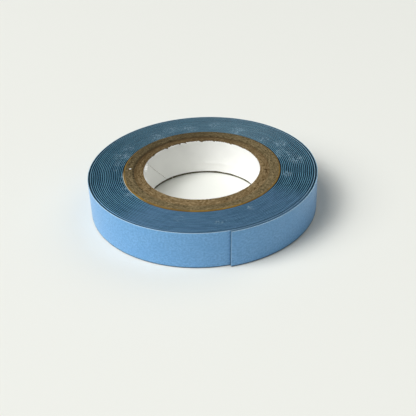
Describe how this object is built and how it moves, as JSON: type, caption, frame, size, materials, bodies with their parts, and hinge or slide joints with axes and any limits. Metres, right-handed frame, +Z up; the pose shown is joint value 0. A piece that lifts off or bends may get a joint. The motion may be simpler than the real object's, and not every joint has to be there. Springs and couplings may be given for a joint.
{
  "type": "grip tape roll",
  "caption": "Narrow double-sided grip tape, light blue release liner outside, wound on a thick paperboard core with a white-faced bore; its free end and liner can be peeled.",
  "frame": {"origin": "axis of the core's bore, in the plane of the face that the roll lies on", "axes": "+Z up along the bore's axis, away from the surface that the roll lies on; the tape's cut end faces -Y, a little to the +X side"},
  "size_m": [0.0595, 0.0591, 0.0103],
  "materials": {
    "facing": "matt white paper",
    "board_inner": "cut brown board",
    "board_outer": "cut grey-brown board",
    "wrap": "matt kraft paper",
    "adhesive": "tacky, satin",
    "carrier": "matt non-woven",
    "liner": "matt light blue, finely mottled"
  },
  "bodies": {
    "roll": {"core_facing": "facing", "core_ply_1": "board_inner", "core_ply_2": "board_inner", "core_ply_3": "board_inner", "core_ply_4": "board_inner", "core_ply_5": "board_inner", "core_ply_6": "board_outer", "core_ply_7": "board_outer", "core_ply_8": "board_outer", "core_ply_9": "board_outer", "core_ply_10": "board_outer", "core_wrap": "wrap", "wound_inner_adhesive": "adhesive", "wound_carrier": "carrier", "wound_outer_adhesive": "adhesive", "wound_liner": "liner"},
    "end_1": {"end_1_inner_adhesive": "adhesive", "end_1_carrier": "carrier", "end_1_outer_adhesive": "adhesive", "end_1_liner": "liner"},
    "end_2": {"end_2_inner_adhesive": "adhesive", "end_2_carrier": "carrier", "end_2_outer_adhesive": "adhesive", "end_2_liner": "liner"},
    "end_3": {"end_3_inner_adhesive": "adhesive", "end_3_carrier": "carrier", "end_3_outer_adhesive": "adhesive", "end_3_liner": "liner"},
    "end_4": {"end_4_inner_adhesive": "adhesive", "end_4_carrier": "carrier", "end_4_outer_adhesive": "adhesive", "end_4_liner": "liner"},
    "end_5": {"end_5_inner_adhesive": "adhesive", "end_5_carrier": "carrier", "end_5_outer_adhesive": "adhesive", "end_5_liner": "liner"},
    "end_6": {"end_6_inner_adhesive": "adhesive", "end_6_carrier": "carrier", "end_6_outer_adhesive": "adhesive", "end_6_liner": "liner"},
    "tip": {"tip_inner_adhesive": "adhesive", "tip_carrier": "carrier", "tip_outer_adhesive": "adhesive", "tip_liner": "liner"},
    "tab_1": {"liner_tab_1": "liner"},
    "tab_2": {"liner_tab_2": "liner"},
    "tab_3": {"liner_tab_3": "liner"}
  },
  "joints": [
    {"name": "tape_peel_1", "type": "hinge", "parent": "roll", "child": "end_1", "pos_m": [0.02987, 0.0011, 0.00515], "axis": [0, 0, 1], "range_deg": [0, 15]},
    {"name": "tape_peel_2", "type": "hinge", "parent": "end_1", "child": "end_2", "pos_m": [0.02969, -0.00359, 0.00515], "axis": [0, 0, 1], "range_deg": [0, 15]},
    {"name": "tape_peel_3", "type": "hinge", "parent": "end_2", "child": "end_3", "pos_m": [0.02878, -0.0082, 0.00515], "axis": [0, 0, 1], "range_deg": [0, 15]},
    {"name": "tape_peel_4", "type": "hinge", "parent": "end_3", "child": "end_4", "pos_m": [0.02715, -0.0126, 0.00515], "axis": [0, 0, 1], "range_deg": [0, 15]},
    {"name": "tape_peel_5", "type": "hinge", "parent": "end_4", "child": "end_5", "pos_m": [0.02486, -0.01671, 0.00515], "axis": [0, 0, 1], "range_deg": [0, 15]},
    {"name": "tape_peel_6", "type": "hinge", "parent": "end_5", "child": "end_6", "pos_m": [0.02195, -0.0204, 0.00515], "axis": [0, 0, 1], "range_deg": [0, 15]},
    {"name": "tape_peel_7", "type": "hinge", "parent": "end_6", "child": "tip", "pos_m": [0.0185, -0.0236, 0.00515], "axis": [0, 0, 1], "range_deg": [0, 15]},
    {"name": "liner_peel_1", "type": "hinge", "parent": "tip", "child": "tab_1", "pos_m": [0.01527, -0.02582, 0.00515], "axis": [0, 0, 1], "range_deg": [0, 30]},
    {"name": "liner_peel_2", "type": "hinge", "parent": "tab_1", "child": "tab_2", "pos_m": [0.01249, -0.02728, 0.00515], "axis": [0, 0, 1], "range_deg": [0, 30]},
    {"name": "liner_peel_3", "type": "hinge", "parent": "tab_2", "child": "tab_3", "pos_m": [0.00957, -0.02845, 0.00515], "axis": [0, 0, 1], "range_deg": [0, 30]}
  ],
  "couplings": [
    {"joint": "tape_peel_2", "follows": "tape_peel_1", "ratio": 1},
    {"joint": "tape_peel_3", "follows": "tape_peel_1", "ratio": 1},
    {"joint": "tape_peel_4", "follows": "tape_peel_1", "ratio": 1},
    {"joint": "tape_peel_5", "follows": "tape_peel_1", "ratio": 1},
    {"joint": "tape_peel_6", "follows": "tape_peel_1", "ratio": 1},
    {"joint": "tape_peel_7", "follows": "tape_peel_1", "ratio": 1},
    {"joint": "liner_peel_2", "follows": "liner_peel_1", "ratio": 1},
    {"joint": "liner_peel_3", "follows": "liner_peel_1", "ratio": 1}
  ]
}
